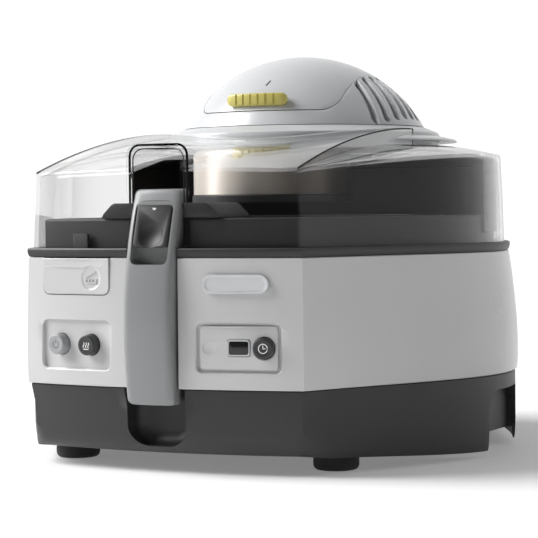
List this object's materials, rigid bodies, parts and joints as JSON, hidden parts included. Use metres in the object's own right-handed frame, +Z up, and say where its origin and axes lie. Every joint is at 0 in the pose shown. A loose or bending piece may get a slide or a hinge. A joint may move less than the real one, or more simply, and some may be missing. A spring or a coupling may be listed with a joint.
{
  "type": "hot air fryer",
  "caption": "Domed low-oil fryer: clear hinged lid with fan and heater over a stirred bowl, fold-down bowl handle, push buttons and a dark base.",
  "frame": {"origin": "centre of the bounding box on the plane that the feet stand on", "axes": "+Z up, -Y towards the user at the front panel and handle, +X to the user's right"},
  "size_m": [0.3292, 0.3934, 0.27],
  "materials": {
    "white_plastic": "satin moulded shell",
    "grey_plastic": "satin light grey moulding",
    "dark_plastic": "fine grained charcoal",
    "black_plastic": "smooth black",
    "lime_plastic": "satin lime",
    "clear_plastic": "polished clear polycarbonate",
    "rubber": "matt",
    "steel": "plain bright steel",
    "warm_steel": "warm satin steel",
    "bowl_coating": "dark non-stick coating on aluminium",
    "circuit_board": "green board"
  },
  "bodies": {
    "body": {"base_tray": "dark_plastic", "body_shell": "white_plastic", "trim_band": "dark_plastic", "inner_collar": "dark_plastic", "foot_front_left": "rubber", "foot_front_right": "rubber", "foot_rear_left": "rubber", "foot_rear_right": "rubber", "foot_screw_front_left": "steel", "foot_screw_front_right": "steel", "foot_screw_rear_left": "steel", "foot_screw_rear_right": "steel", "hinge_bracket_left": "dark_plastic", "hinge_bracket_right": "dark_plastic", "hinge_pin": "steel", "mains_inlet": "black_plastic", "control_fascia": "white_plastic", "timer_display": "black_plastic", "badge_plate": "grey_plastic", "control_board": "circuit_board", "switch_block": "black_plastic", "well_liner": "steel", "lower_heater": "steel", "spindle_bush": "steel", "drive_motor": "steel", "bowl": "bowl_coating", "bowl_bracket": "dark_plastic", "handle_pin": "steel"},
    "lid": {"lid_cover": "clear_plastic", "dome_skirt": "grey_plastic", "dome_shell": "grey_plastic", "dome_insert": "grey_plastic", "motor_plate": "steel", "heat_shield": "warm_steel", "upper_heater": "steel", "fan_motor": "steel", "fan_guard": "dark_plastic", "lid_hinge_arm": "dark_plastic", "latch_hook": "dark_plastic", "rear_lining": "dark_plastic"},
    "fan": {"fan": "steel"},
    "power_slider": {"power_slider": "lime_plastic"},
    "drive": {"drive_gear": "dark_plastic", "stirring_paddle": "dark_plastic"},
    "pinion": {"motor_pinion": "steel"},
    "handle": {"handle": "grey_plastic"},
    "thumb_slider": {"handle_slider": "dark_plastic"},
    "lid_release": {"lid_button": "white_plastic", "latch_catch": "grey_plastic"},
    "power_button": {"power_button": "grey_plastic"},
    "heater_button": {"lower_heater_button": "black_plastic"},
    "timer_button": {"timer_button": "dark_plastic"}
  },
  "joints": [
    {"name": "lid_hinge", "type": "hinge", "parent": "body", "child": "lid", "pos_m": [0, 0.1907, 0.146], "axis": [-1, 0, 0], "range_deg": [0, 75]},
    {"name": "fan_spin", "type": "hinge", "parent": "lid", "child": "fan", "pos_m": [0, -0.0173, 0.19], "axis": [0, 0, 1], "continuous": true},
    {"name": "power_slide", "type": "hinge", "parent": "lid", "child": "power_slider", "pos_m": [0, 0.0352, 0.237], "axis": [0, 0, 1], "range_deg": [-12, 12]},
    {"name": "paddle_spin", "type": "hinge", "parent": "body", "child": "drive", "pos_m": [0, -0.0173, 0.036], "axis": [0, 0, 1], "continuous": true},
    {"name": "pinion_spin", "type": "hinge", "parent": "body", "child": "pinion", "pos_m": [0.0432, -0.0173, 0.039], "axis": [0, 0, 1], "continuous": true},
    {"name": "handle_fold", "type": "hinge", "parent": "body", "child": "handle", "pos_m": [0, -0.1745, 0.1631], "axis": [-1, 0, 0], "range_deg": [0, 90]},
    {"name": "thumb_slide", "type": "slide", "parent": "handle", "child": "thumb_slider", "axis": [0, 0, -1], "range_m": [0, 0.008], "stiffness_N_per_m": 60},
    {"name": "lid_button_press", "type": "slide", "parent": "body", "child": "lid_release", "axis": [0, 1, 0], "range_m": [0, 0.003], "stiffness_N_per_m": 150},
    {"name": "power_button_press", "type": "slide", "parent": "body", "child": "power_button", "axis": [0.1764, 0.9843, 0], "range_m": [0, 0.002], "stiffness_N_per_m": 150},
    {"name": "heater_button_press", "type": "slide", "parent": "body", "child": "heater_button", "axis": [0.1164, 0.9932, 0], "range_m": [0, 0.002], "stiffness_N_per_m": 150},
    {"name": "timer_button_press", "type": "slide", "parent": "body", "child": "timer_button", "axis": [-0.1842, 0.9829, 0], "range_m": [0, 0.002], "stiffness_N_per_m": 150}
  ],
  "couplings": [
    {"joint": "pinion_spin", "follows": "paddle_spin", "ratio": -4}
  ]
}
